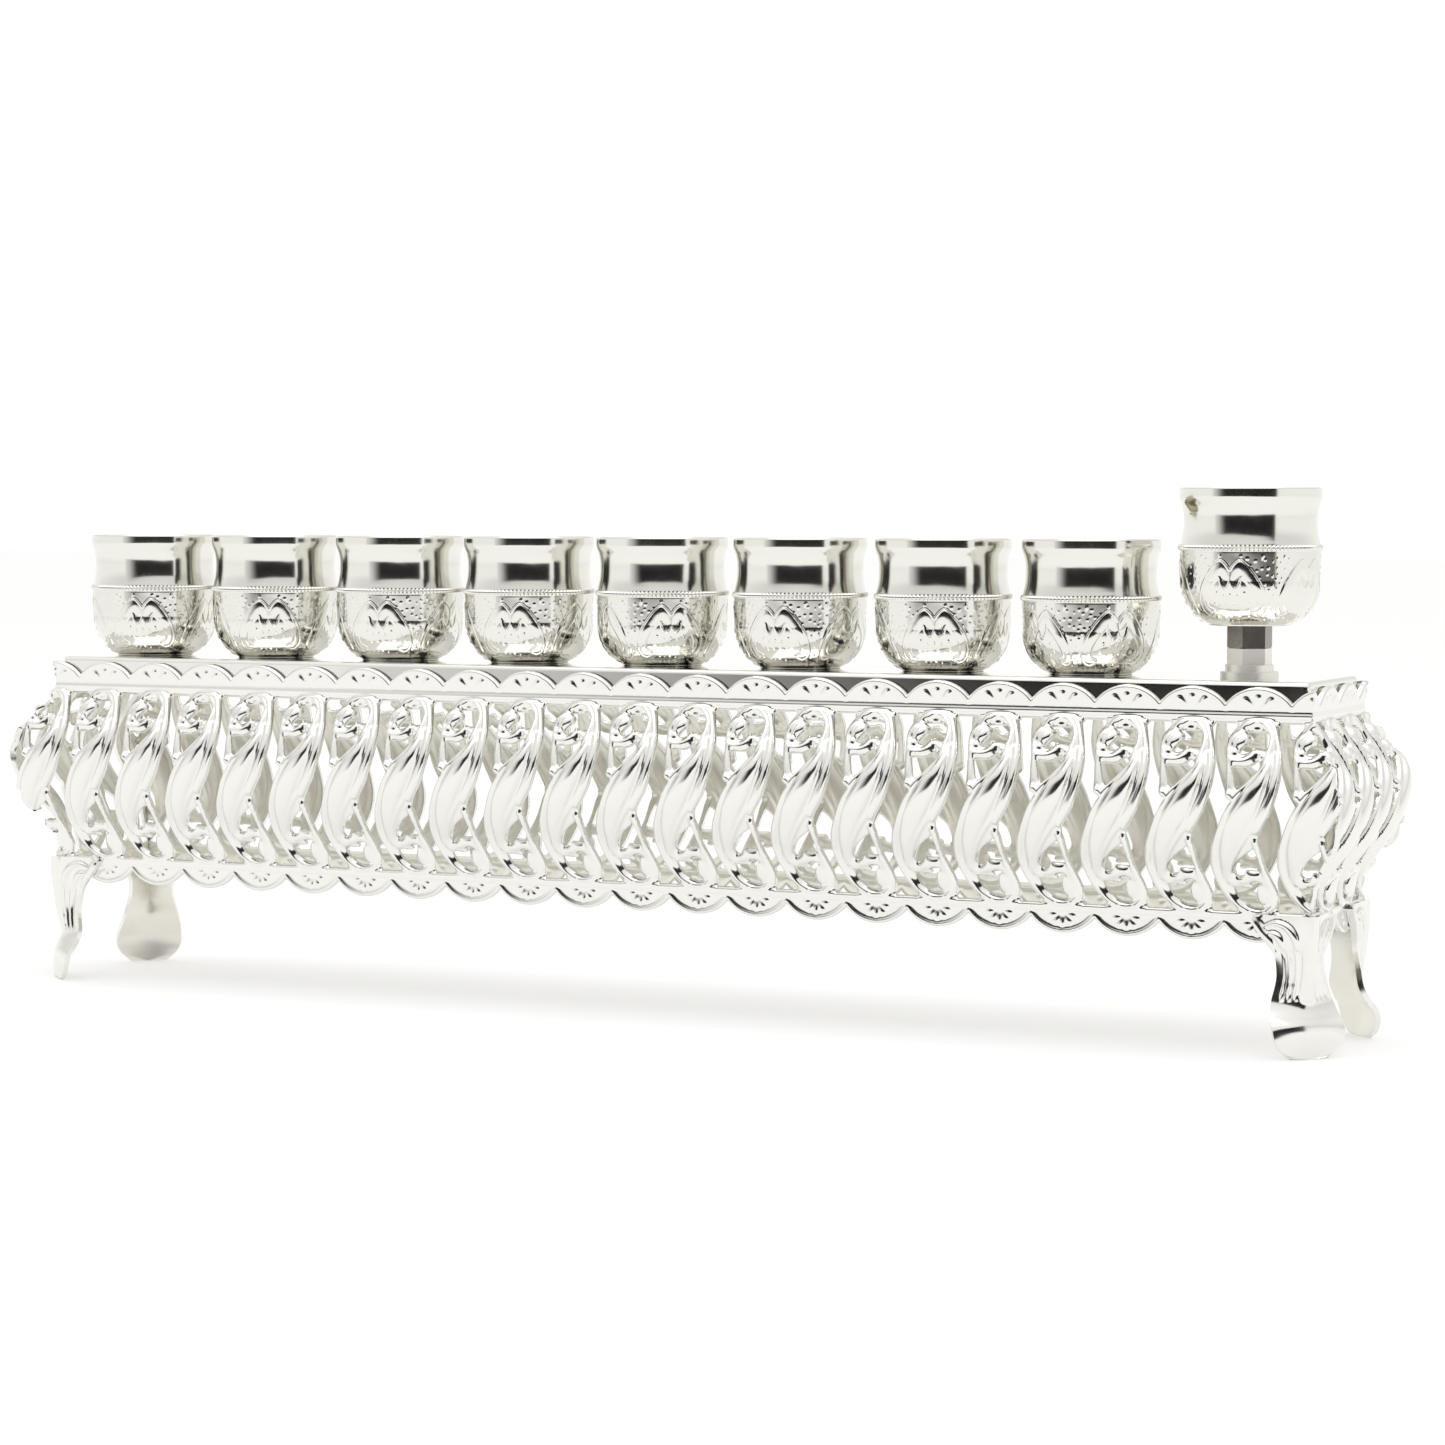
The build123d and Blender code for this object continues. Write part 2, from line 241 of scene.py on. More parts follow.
# ---- sheets with openings -----------------------------------------------------------
def trace_sheet(outside):
    """Marching squares over a grid: cells and part cells where outside is negative.

    Gives the polygons as arrays of point numbers, the grid positions (column, row) of
    all points, and the cell that each polygon lies in.
    """
    columns, rows = outside.shape
    inside = outside < 0
    number = np.arange(columns * rows).reshape(columns, rows)

    def crossings(near, far):
        """Where the edge lies between neighbouring grid points, as a share."""
        with np.errstate(divide="ignore", invalid="ignore"):
            return np.clip(near / (near - far), 0.04, 0.96)

    share_across = crossings(outside[:-1], outside[1:])
    share_down = crossings(outside[:, :-1], outside[:, 1:])
    across = columns * rows + np.arange((columns - 1) * rows).reshape(columns - 1, rows)
    down = across.max() + 1 + np.arange(columns * (rows - 1)).reshape(columns, rows - 1)
    column, row = np.mgrid[0:columns, 0:rows].astype(float)
    place = np.concatenate([
        np.stack([column.ravel(), row.ravel()], 1),
        np.stack([(column[:-1] + share_across).ravel(), row[:-1].ravel()], 1),
        np.stack([column[:, :-1].ravel(), (row[:, :-1] + share_down).ravel()], 1),
    ])
    corners = [number[:-1, :-1], number[1:, :-1], number[1:, 1:], number[:-1, 1:]]
    states = [inside[:-1, :-1], inside[1:, :-1], inside[1:, 1:], inside[:-1, 1:]]
    sides = [across[:, :-1], down[1:], across[:, 1:], down[:-1]]
    case = sum(state.astype(int) << k for k, state in enumerate(states))
    polygons, cells = [], []
    for value in range(1, 16):
        found = case == value
        if not found.any():
            continue
        ring = []
        for k in range(4):
            here, following = value >> k & 1, value >> (k + 1) % 4 & 1
            if here:
                ring.append(corners[k][found])
            if here != following:
                ring.append(sides[k][found])
        polygons.append(np.stack(ring, 1))
        cells.append(np.argwhere(found))
    return polygons, place, cells


def solid_sheet(name, polygons, front, back, materials):
    """Sheet with a front, a back and walls round every edge, closed."""
    used = np.unique(np.concatenate([faces.ravel() for faces in polygons]))
    renumber = np.zeros(used.max() + 1, int)
    renumber[used] = np.arange(len(used))
    faces = [renumber[group][:, ::-1] for group in polygons]
    starts = np.concatenate([group.ravel() for group in faces])
    ends = np.concatenate([np.roll(group, -1, axis=1).ravel() for group in faces])
    count = len(used)
    alone = ~np.isin(starts * count + ends, ends * count + starts)
    a, b = starts[alone], ends[alone]
    walls = np.stack([b, a, a + count, b + count], 1)
    points = np.concatenate([front[used], back[used]])
    inner = [group[:, ::-1] + count for group in faces]
    groups = faces + inner + [walls]
    slots = [0] * len(faces) + [1] * len(inner) + [0]
    return add_mesh(name, points, groups, materials, slots, crease=50.0)


# ---- gallery sheet: its shape -------------------------------------------------------
PITCH = 13.7                    # one motif of the galleries
STEP = PITCH / 64               # width of a cell of the relief
SHEET = 0.8                     # thickness of the pressed sheet
BAND = 0.8                      # how far the upright bands stand out from the plate
BAND_LEAN = 0.7                 # how much further the upper band's top stands out
BELLY = 8.5                     # how far the belly's relief stands out
SINK = 0.3                      # how far the belly's ground lies behind its relief
BELLY_TOP, BELLY_MIDDLE, BELLY_BOTTOM = -7.5, -24.0, -44.5
FIRST_NOTCH = 5.6               # left end of the plate to the first scallop notch
RELIEF_ROOM = 11.0              # how far a mitred end may reach past the plate's corner


def ease(share):
    return 0.5 - 0.5 * np.cos(np.pi * np.clip(share, 0, 1))


def gallery_profile():
    """Rows of the gallery's section: distance down the sheet, height, stand-out, sink."""
    height = np.linspace(0, -52.5, 1051)
    upper = ease((BELLY_TOP - height) / (BELLY_TOP - BELLY_MIDDLE))
    lower = ease((height - BELLY_BOTTOM) / (BELLY_MIDDLE - BELLY_BOTTOM))
    swell = np.where(height > BELLY_MIDDLE, upper**0.6, lower**0.82)
    lean = BAND_LEAN * np.clip(1 - height / BELLY_TOP, 0, 1)
    out = BAND + lean + (BELLY - BAND) * swell
    length = np.concatenate([[0], np.cumsum(np.hypot(np.diff(height), np.diff(out)))])
    return length, height, out - SINK * np.minimum(upper, lower) ** 0.5


PROFILE_LENGTH, PROFILE_HEIGHT, PROFILE_OUT = gallery_profile()
PROFILE_TURN = np.unwrap(np.arctan2(np.gradient(PROFILE_HEIGHT), np.gradient(PROFILE_OUT)))


def on_gallery(u, s, lift):
    """Place on the front gallery of a point u along it, s down the sheet, and lifted."""
    height = np.interp(s, PROFILE_LENGTH, PROFILE_HEIGHT)
    out = np.interp(s, PROFILE_LENGTH, PROFILE_OUT)
    turn = np.interp(s, PROFILE_LENGTH, PROFILE_TURN)
    out = out - lift * np.sin(turn)
    return np.stack([u, -out, PLATE_TOP + height + lift * np.cos(turn)], -1)


# ---- gallery motif, in mm: along the pitch from a scallop notch, down the sheet ------
MOTIF_OUTLINE = [
    (2.8, 7.8), (2.6, 9.0), (1.9, 10.3), (1.3, 11.8), (1.2, 13.2), (1.4, 15.1),
    (1.8, 17.6), (2.0, 19.8), (2.2, 22.0), (2.2, 23.3), (2.5, 24.4), (3.1, 24.9),
    (3.6, 25.1), (3.1, 25.9), (2.3, 27.2), (1.2, 29.3), (0.0, 32.0), (-1.1, 34.5),
    (-1.7, 36.8), (-1.9, 38.9), (-1.8, 40.9), (-1.3, 43.1), (-0.5, 45.1), (0.5, 46.7),
    (1.7, 47.9), (2.6, 48.8), (2.7, 50.4), (11.0, 50.4), (11.0, 48.7), (11.3, 47.3),
    (11.1, 45.6), (10.2, 42.9), (9.4, 40.1), (9.1, 37.3), (8.9, 34.8), (8.6, 33.1),
    (8.9, 31.8), (10.0, 30.0), (11.4, 27.6), (12.4, 24.8), (13.0, 22.0), (13.2, 19.3),
    (13.0, 16.5), (12.4, 13.7), (11.6, 10.9), (11.0, 9.0), (10.9, 7.8)]
MOTIF_HOLES = [
    [(4.7, 10.1), (5.9, 9.9), (8.5, 10.0), (9.7, 11.2), (9.9, 12.6), (9.7, 13.9),
     (8.5, 14.1), (6.5, 13.7), (6.3, 14.6), (5.4, 15.1), (4.1, 15.2), (4.1, 14.5),
     (5.0, 13.4), (5.7, 12.3), (5.8, 11.6), (5.5, 10.8)],
    [(3.4, 18.0), (5.9, 17.9), (7.3, 17.2), (7.7, 16.6), (8.3, 16.8), (9.1, 18.2),
     (7.3, 20.5), (6.1, 21.8), (5.0, 22.6), (4.3, 22.7), (3.9, 21.9), (3.6, 20.4),
     (3.3, 19.0)],
    [(7.4, 35.4), (8.1, 37.3), (8.4, 39.5), (8.4, 40.6), (7.2, 40.8), (5.1, 40.8),
     (4.7, 41.5), (4.0, 42.0), (3.1, 41.9), (2.7, 41.2), (3.0, 40.1), (3.7, 38.7),
     (4.5, 37.6), (5.7, 36.5), (6.8, 35.7)],
    [(2.3, 44.4), (5.8, 44.4), (5.9, 43.8), (6.4, 43.3), (7.8, 43.1), (7.8, 43.5),
     (7.2, 44.2), (6.7, 45.6), (6.9, 47.2), (8.0, 48.1), (6.6, 48.3), (5.2, 48.0),
     (4.0, 47.3), (3.0, 46.5)]]
LONG_RIB = [
    (5.0, 9.1), (5.9, 8.5), (7.1, 8.3), (8.3, 8.8), (9.5, 10.3), (10.1, 12.1),
    (10.3, 14.0), (10.1, 15.9), (9.5, 17.9), (8.5, 19.6), (7.3, 21.1), (6.1, 22.5),
    (4.7, 24.0), (3.5, 25.7), (2.6, 27.3), (1.6, 29.4), (0.6, 31.8), (-0.3, 34.3),
    (-0.8, 36.8), (-1.1, 38.9), (-1.0, 40.9), (-0.5, 42.9), (0.3, 44.8), (1.4, 46.4),
    (2.9, 47.9), (4.9, 49.0), (7.0, 49.4), (9.0, 48.9), (10.2, 47.6), (10.4, 45.9),
    (9.6, 43.3), (8.9, 40.5), (8.6, 37.6), (8.3, 35.0), (8.0, 33.4)]
ARCH_RIB = [
    (3.9, 9.6), (4.6, 8.5), (5.8, 7.9), (7.3, 7.7), (9.0, 8.1), (10.4, 9.6),
    (11.3, 11.8), (12.0, 14.3), (12.4, 16.8), (12.6, 19.3), (12.4, 22.0), (11.9, 24.5),
    (10.9, 27.0), (9.6, 29.3), (8.4, 31.2)]
LEAF_RIB = [
    (11.7, 15.4), (11.9, 17.6), (11.9, 19.8), (11.6, 22.0), (11.0, 24.5), (10.0, 26.8),
    (8.7, 29.0), (7.3, 31.1), (5.7, 33.2), (4.3, 35.4), (3.1, 37.5), (2.2, 39.6),
    (1.6, 41.5), (1.5, 43.0)]
# these give each point's half-width and height as well
LEAF_BLADE = [
    (10.9, 15.4, 0.2, 0.4), (10.7, 17.6, 0.7, 1.1), (10.2, 19.8, 1.1, 1.6),
    (9.3, 22.0, 1.6, 1.85), (7.8, 24.5, 2.1, 1.8), (6.2, 27.3, 2.4, 1.6),
    (4.5, 30.1, 2.4, 1.45), (3.2, 32.9, 2.15, 1.3), (2.1, 35.6, 1.7, 1.2),
    (1.4, 38.4, 1.15, 1.05), (0.8, 40.9, 0.65, 0.8), (0.5, 42.6, 0.3, 0.4)]
LEFT_LEG = [(1.7, 13.5, 0.6, 0.6), (2.1, 15.5, 0.65, 0.6), (2.6, 18.5, 0.6, 0.6),
            (2.9, 21.5, 0.55, 0.55), (3.1, 23.2, 0.5, 0.5)]
MIDDLE_CURL = [(2.4, 16.6, 0.8, 0.7), (3.8, 17.0, 0.8, 0.75), (5.4, 16.9, 0.85, 0.8),
               (6.6, 16.1, 0.8, 0.8), (7.2, 15.1, 0.7, 0.7), (8.6, 15.3, 0.6, 0.6),
               (9.6, 14.9, 0.5, 0.5)]
LOWER_CLOUD = [(2.6, 43.2, 0.8, 0.5), (3.7, 42.8, 0.8, 0.6), (4.9, 42.6, 0.9, 0.65),
               (6.4, 42.0, 1.0, 0.7), (7.8, 42.2, 0.9, 0.65), (8.9, 43.4, 0.9, 0.6)]
LOBE_CREASE = [(2.7, 13.8, 0.35, 0.35), (3.1, 12.6, 0.4, 0.45), (3.9, 11.4, 0.35, 0.35),
               (4.4, 10.8, 0.2, 0.1)]
# ovals: centre, half-sizes, height, turn
MOTIF_OVALS = [
    ((3.6, 12.2), (2.2, 2.3), 1.2, 30), ((3.1, 15.0), (0.9, 0.9), 0.7, 0),
    ((3.1, 24.0), (0.95, 0.95), 1.1, 0), ((8.9, 15.9), (0.75, 0.75), 0.8, 0),
    ((8.9, 45.9), (1.9, 2.2), 0.9, 0), ((2.7, 43.6), (0.8, 0.7), 0.6, 0)]


def motif_relief(x, s):
    """Height of the pressed motif above the sheet."""
    height = broad_stroke(x, s, LEAF_BLADE)
    height = blend_max(height, line(x, s, LONG_RIB, 0.68, 0.9))
    height = blend_max(height, line(x, s, ARCH_RIB, 0.65, 0.85))
    height = blend_max(height, line(x, s, LEAF_RIB, 0.5, 0.8))
    for points in (LEFT_LEG, MIDDLE_CURL, LOWER_CLOUD):
        height = blend_max(height, stroke(x, s, points))
    for centre, radii, rise, turn in MOTIF_OVALS:
        height = blend_max(height, mound(x, s, centre, radii, rise, turn))
    return height - stroke(x, s, LOBE_CREASE)


# ---- gallery borders ----------------------------------------------------------------
SCALLOP_PEAK, SCALLOP_NOTCH = 1.1, 4.4          # upper border, down the sheet
SCALLOP_TIP, SCALLOP_CLEFT = 55.4, 52.2         # lower border
UPPER_BAND_END, LOWER_BAND_START = 8.1, 49.3    # where the pierced belly lies between
RIM_BEAD = 0.38                                 # half-width of the scallops' edge bead
UPPER_RIBS = [(6.75, 0.36, 0.45), (7.55, 0.36, 0.4)]
LOWER_RIBS = [(49.75, 0.36, 0.45), (50.55, 0.36, 0.4)]
UPPER_PETALS = [
    [(5.8, 5.3, 0.14, 0.1), (5.0, 4.4, 0.26, 0.3), (4.1, 3.5, 0.4, 0.45)],
    [(6.85, 4.6, 0.14, 0.1), (6.85, 3.9, 0.24, 0.25), (6.85, 3.1, 0.42, 0.45)],
    [(7.9, 5.3, 0.14, 0.1), (8.7, 4.4, 0.26, 0.3), (9.6, 3.5, 0.4, 0.45)]]
FAN_CENTRE, FAN_INNER, FAN_OUTER = (6.85, 51.3), 1.2, 2.4
FAN_TURNS = (-76, -38, 0, 38, 76)               # degrees from straight down
WELL_INSIDE = -9.0                              # distance given away from an edge


def arc_distance(x, s, tip, cleft):
    """Distance outside the arcs of a scalloped edge, from its tips and its notches."""
    rise = abs(cleft - tip)
    radius = ((PITCH / 2) ** 2 + rise**2) / (2 * rise)
    centre = tip + math.copysign(radius, cleft - tip)
    along = (x + PITCH / 2) % PITCH
    along = np.minimum(along, PITCH - along)
    return np.hypot(PITCH / 2 - along, s - centre) - radius


def border_edges(x, s):
    """Distance outside the scallops of both borders."""
    top = arc_distance(x + PITCH / 2, s, SCALLOP_PEAK, SCALLOP_NOTCH)
    bottom = arc_distance(x + PITCH / 2, s, SCALLOP_TIP, SCALLOP_CLEFT)
    top = np.where(s > SCALLOP_NOTCH + 1.5, WELL_INSIDE, top)
    bottom = np.where(s < SCALLOP_CLEFT - 1.5, WELL_INSIDE, bottom)
    return top, bottom


def border_relief(x, s):
    """Height of the ribs, edge beads, petals and fans of the borders."""
    top, bottom = border_edges(x, s)
    height = np.zeros(x.shape)
    for level, width, rise in UPPER_RIBS + LOWER_RIBS:
        height = np.maximum(height, rise * np.clip(1 - ((s - level) / width) ** 2, 0, 1)**0.6)
    for edge in (top, bottom):
        away = (edge + RIM_BEAD) / RIM_BEAD
        height = np.maximum(height, 0.38 * np.clip(1 - away**2, 0, 1) ** 0.6)
    for petal in UPPER_PETALS:
        height = blend_max(height, stroke(x, s, petal), 0.05)
    for turn in FAN_TURNS:
        sine, cosine = math.sin(math.radians(turn)), math.cos(math.radians(turn))
        petal = [(FAN_CENTRE[0] + sine * reach, FAN_CENTRE[1] + cosine * reach, width, rise)
                 for reach, width, rise in ((FAN_INNER, 0.14, 0.15), (1.6, 0.26, 0.3),
                                            (FAN_OUTER, 0.36, 0.4))]
        height = blend_max(height, stroke(x, s, petal), 0.05)
    return height


# ---- galleries ----------------------------------------------------------------------
EDGE_ROUND, EDGE_DROP = 0.6, 0.26               # width and fall of the rounded cut edges
SOFT_ROUNDS = 3                                 # smoothing of the pressed relief
BELLY_RELIEF = (7.0, 50.4)                      # where the motif's relief starts and ends
LOWER_SHARE = 0.7                               # height of the relief low on the belly
LOWER_START, LOWER_REACH = 36.0, 8.0            # where it falls to that height
MITRE_SLOPE = 0.7                               # distance from a mitre, by distance along


def soften(height):
    """Smooths a relief that repeats along its first axis."""
    for _ in range(SOFT_ROUNDS):
        height = (np.roll(height, 1, 0) + 2 * height + np.roll(height, -1, 0)) / 4
        ends = np.concatenate([height[:, :1], height, height[:, -1:]], axis=1)
        height = (ends[:, :-2] + 2 * height + ends[:, 2:]) / 4
    return height


def gallery_tile():
    """One pitch of the sheet: rows down the sheet, outside distance, relief, motif."""
    columns = round(PITCH / STEP)
    rows = np.arange(SCALLOP_PEAK - 0.4, SCALLOP_TIP + 0.5, STEP)
    x, s = np.meshgrid(np.arange(columns) * STEP, rows, indexing="ij")
    outside, relief, motif = np.full(x.shape, 1e9), np.zeros(x.shape), np.zeros(x.shape, int)
    for neighbour in (-1, 0, 1):
        shifted = x - neighbour * PITCH
        here = signed_distance(shifted, s, MOTIF_OUTLINE)
        for hole in MOTIF_HOLES:
            here = np.maximum(here, -signed_distance(shifted, s, hole))
        relief = np.where(here < outside, motif_relief(shifted, s), relief)
        motif = np.where(here < outside, neighbour, motif)
        outside = np.minimum(outside, here)
    outside = np.minimum(outside, s - UPPER_BAND_END)
    outside = np.minimum(outside, LOWER_BAND_START - s)
    top, bottom = border_edges(x, s)
    outside = np.maximum(outside, np.maximum(top, bottom))
    in_belly = np.clip(np.minimum(s - BELLY_RELIEF[0], BELLY_RELIEF[1] - s) / 0.6, 0, 1)
    in_belly = in_belly * (1 - (1 - LOWER_SHARE) * ease((s - LOWER_START) / LOWER_REACH))
    relief = soften(blend_max(relief * in_belly, border_relief(x, s), 0.1))
    return rows, outside, relief, motif


def gallery_meshes(name, length, first, tile, parts):
    """Meshes of one gallery: its two borders, and its motifs in groups."""
    rows, outside, relief, motif = tile
    columns = outside.shape[0]
    first_tile = math.floor((-length / 2 - RELIEF_ROOM - first) / PITCH)
    tiles = math.ceil((length / 2 + RELIEF_ROOM - first) / PITCH) - first_tile
    u = first + first_tile * PITCH + np.arange(tiles * columns) * STEP
    near = np.tile(np.clip(1 + outside / EDGE_ROUND, 0, 1) ** 2, (tiles, 1))
    outside = np.tile(outside, (tiles, 1))
    relief = np.tile(relief, (tiles, 1))
    motif = np.tile(motif, (tiles, 1)) + np.repeat(np.arange(tiles), columns)[:, None]
    grid_u, grid_s = np.meshgrid(u, rows, indexing="ij")
    front = on_gallery(grid_u, grid_s, relief)
    mitre = np.abs(grid_u) - length / 2 + front[..., 1]
    outside = np.maximum(outside, mitre * MITRE_SLOPE)
    outside[[0, -1]] = 1.0
    outside[:, [0, -1]] = 1.0
    polygons, place, cells = trace_sheet(outside)
    column, row = place.T
    low_c, low_r = np.floor(column).astype(int), np.floor(row).astype(int)
    high_c = np.minimum(low_c + 1, len(u) - 1)
    high_r = np.minimum(low_r + 1, len(rows) - 1)
    part_c, part_r = column - low_c, row - low_r
    lift = (relief[low_c, low_r] * (1 - part_c) * (1 - part_r)
            + relief[high_c, low_r] * part_c + relief[low_c, high_r] * part_r)
    on_edge = part_c + part_r > 0
    lift -= EDGE_DROP * np.where(on_edge, 1.0, near[low_c, low_r])
    point_u = u[0] + column * STEP
    point_s = rows[0] + row * STEP
    outer = on_gallery(point_u, point_s, lift)
    inner = on_gallery(point_u, point_s, lift - SHEET)
    limit = length / 2 - inner[:, 1]
    inner[:, 0] = np.clip(inner[:, 0], -limit, limit)
    top_row = round((UPPER_BAND_END + 0.3 - rows[0]) / STEP)
    bottom_row = round((LOWER_BAND_START - 0.2 - rows[0]) / STEP)
    meshes = {}
    labels = ["upper_border", "lower_border"] + [f"motifs_{k + 1}" for k in range(parts)]
    for label in labels:
        chosen = []
        for faces, cell in zip(polygons, cells):
            if label == "upper_border":
                keep = cell[:, 1] < top_row
            elif label == "lower_border":
                keep = cell[:, 1] >= bottom_row
            else:
                part = motif[cell[:, 0], cell[:, 1]] * parts // (tiles + 1)
                belly = (cell[:, 1] >= top_row) & (cell[:, 1] < bottom_row)
                keep = belly & (part == int(label[-1]) - 1)
            if keep.any():
                chosen.append(faces[keep])
        if chosen:
            meshes[label] = solid_sheet(f"{name}_{label}", chosen, outer, inner,
                                        [SILVER, LACQUER])
    return meshes


def add_galleries():
    tile = gallery_tile()
    long_meshes = gallery_meshes("long", 2 * HALF_LENGTH, FIRST_NOTCH - HALF_LENGTH, tile, 3)
    short_meshes = gallery_meshes("short", 2 * HALF_DEPTH, -PITCH, tile, 1)
    for side, meshes, turn, at in (
            ("front", long_meshes, 0, (0, -HALF_DEPTH, 0)),
            ("back", long_meshes, 180, (0, HALF_DEPTH, 0)),
            ("left", short_meshes, -90, (-HALF_LENGTH, 0, 0)),
            ("right", short_meshes, 90, (HALF_LENGTH, 0, 0))):
        for label, mesh in meshes.items():
            piece = add_object(f"gallery_{side}_{label}", mesh, turn, at)
            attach(piece, ROOT)
            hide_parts(f"gallery_{side}")


# ---- feet ---------------------------------------------------------------------------
# from the top down: height, ridge beyond the plate's corner, drop to the edge, half-width
FOOT_SECTIONS = [
    (28.3, 2.60, 8.6, 8.6), (27.2, 2.60, 8.8, 8.8), (25.6, 2.60, 8.3, 8.4),
    (23.4, 2.55, 7.0, 7.3), (20.6, 2.20, 5.4, 5.6), (17.0, 1.70, 4.2, 5.35),
    (14.5, 1.20, 3.4, 5.8), (11.2, 0.60, 2.6, 6.8), (8.4, 1.70, 2.2, 7.6),
    (7.0, 2.70, 2.0, 7.85), (5.4, 3.60, 1.9, 7.95), (4.0, 4.40, 1.7, 7.7),
    (2.8, 5.10, 1.5, 7.15), (1.8, 5.60, 1.2, 6.3), (1.0, 6.05, 0.9, 5.1),
    (0.5, 6.30, 0.6, 3.8), (0.2, 6.50, 0.4, 2.5), (0.0, 6.60, 0.2, 0.8)]
FOOT_SHEET = 1.0
TOE_CREASE, TOE_CREASE_FALL = 6.9, 1.2      # height of the toe's crease, and its fall
TOE_TURN = 1.5                              # how far round the crease turns
FLUTE_TOP, FLUTE_BOTTOM = 21.5, 11.4
FLUTES = [(0.34, 0.085), (0.53, 0.08), (0.73, 0.08)]    # place and half-width, by share
FLUTE_DEPTH = 0.4
# scrolls of the leaf, across and up, on both sides of the ridge
FOOT_SCROLLS = [
    [(6.9, 26.0, 0.4, 0.4), (5.4, 26.7, 0.6, 0.6), (3.9, 25.9, 0.65, 0.7),
     (2.9, 24.0, 0.6, 0.65), (2.4, 21.8, 0.4, 0.4)],
    [(6.7, 24.6, 0.4, 0.4), (5.6, 24.4, 0.6, 0.6), (4.9, 23.2, 0.5, 0.5),
     (4.4, 21.8, 0.3, 0.3)],
    [(8.2, 27.8, 0.7, 0.5), (8.3, 26.7, 0.85, 0.8), (7.5, 24.8, 0.8, 0.8),
     (6.5, 23.0, 0.6, 0.55), (5.5, 20.8, 0.4, 0.35)]]


def foot_relief(across, level, share):
    """Height of the foot's flutes, centre rib and leaf scrolls above its sheet."""
    side = np.abs(share)
    fade = np.clip((level - FLUTE_BOTTOM) / 1.2, 0, 1) * np.clip((FLUTE_TOP - level) / 1.5, 0, 1)
    height = 0.45 * np.clip(1 - (side / 0.24) ** 2, 0, 1) ** 0.5 * np.clip((level - 10) / 2, 0, 1)
    for scroll in FOOT_SCROLLS:
        height = blend_max(height, stroke(np.abs(across), level, scroll), 0.2)
    for centre, half in FLUTES:
        groove = np.clip(1 - ((side - centre) / half) ** 2, 0, 1)
        height = height - FLUTE_DEPTH * groove * np.sqrt(fade)
    return height


def add_feet():
    sections = smooth_path(FOOT_SECTIONS, steps=12)
    levels = FOOT_SECTIONS[0][0] * np.linspace(0, 1, 151) ** 1.5
    order = np.argsort(sections[:, 0])
    ridge, drop, half = (np.interp(levels, sections[order, 0], sections[order, k])
                         for k in (1, 2, 3))
    share, level = np.meshgrid(np.linspace(-1, 1, 121), levels, indexing="ij")
    crease = TOE_CREASE - TOE_CREASE_FALL * share**2
    above = level - crease
    held = crease + 0.5 * (above + np.sqrt(above**2 + TOE_TURN**2))
    below = np.clip(-above / crease, 0, 1)
    lip = -0.25 * below - 0.75 * below**2
    soft = np.interp(level, (9.0, 15.0), (0.5, 0.12))
    bend = (np.sqrt(share**2 + soft**2) - soft) / (np.sqrt(1 + soft**2) - soft)
    out = np.interp(held, levels, ridge) + lip - np.interp(level, levels, drop) * bend
    across = np.interp(level, levels, half) * share
    plain = np.stack([out, across, level], -1)
    normal = np.cross(np.gradient(plain, axis=0), np.gradient(plain, axis=1))
    normal /= np.linalg.norm(normal, axis=-1, keepdims=True) + 1e-9
    normal *= np.sign(normal[..., :1] + 1e-9)
    front = plain + normal * foot_relief(across, level, share)[..., None]
    back = plain - normal * FOOT_SHEET
    back[..., 2] = np.clip(back[..., 2], 0, FOOT_SECTIONS[0][0])
    front[..., 2] = np.clip(front[..., 2], 0, FOOT_SECTIONS[0][0])
    number = np.arange(share.size).reshape(share.shape)
    faces = np.stack([number[:-1, :-1], number[1:, :-1], number[1:, 1:], number[:-1, 1:]], -1)
    mesh = solid_sheet("foot", [faces.reshape(-1, 4)[:, ::-1]], front.reshape(-1, 3),
                       back.reshape(-1, 3), [SILVER, LACQUER])
    for name, side_x, side_y, turn in (
            ("foot_front_left", -1, -1, 225), ("foot_front_right", 1, -1, 315),
            ("foot_back_left", -1, 1, 135), ("foot_back_right", 1, 1, 45)):
        piece = add_object(f"pressed_{name}", mesh, turn,
                           (side_x * HALF_LENGTH, side_y * HALF_DEPTH, 0))
        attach(piece, ROOT)
        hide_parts(name)


# ---- cups ---------------------------------------------------------------------------
CUP_SHEET = 0.8
BASE_RADIUS, WALL_RADIUS = 8.3, 14.2
BOWL_HEIGHT, RING_HEIGHT, CUP_HEIGHT = 9.0, 15.8, 27.7
CUP_HOLE = 2.55
WALL_TAPER = 0.3                # how much the wall narrows from its ring to the bowl
# radius and height of the wall from its ring up to its rim
WAIST = [(14.08, 16.4), (13.85, 17.4), (13.62, 18.6), (13.48, 20.0), (13.44, 21.3),
         (13.5, 22.6), (13.78, 24.0), (14.14, 25.0), (14.33, 25.7), (14.37, 26.3),
         (14.37, 27.35)]
PLAIN, TOOTHED = -1.0, -2.0     # kinds of face that aren't engraved
CUP_COLUMNS = 600
ENGRAVED_STEP = 0.17            # between the rows of points on the engraved face
RING_TEETH, TOOTH_WAVE = 100, 0.16
MOTIFS_ROUND = 5
DOT_GAP = 1.05                  # least distance between the punched dots
# how far each cup happens to be turned, in degrees; the shamash cup is the last
CUP_TURNS = (-68, -64, -80, -78, -56, -88, -75, -47, -89)
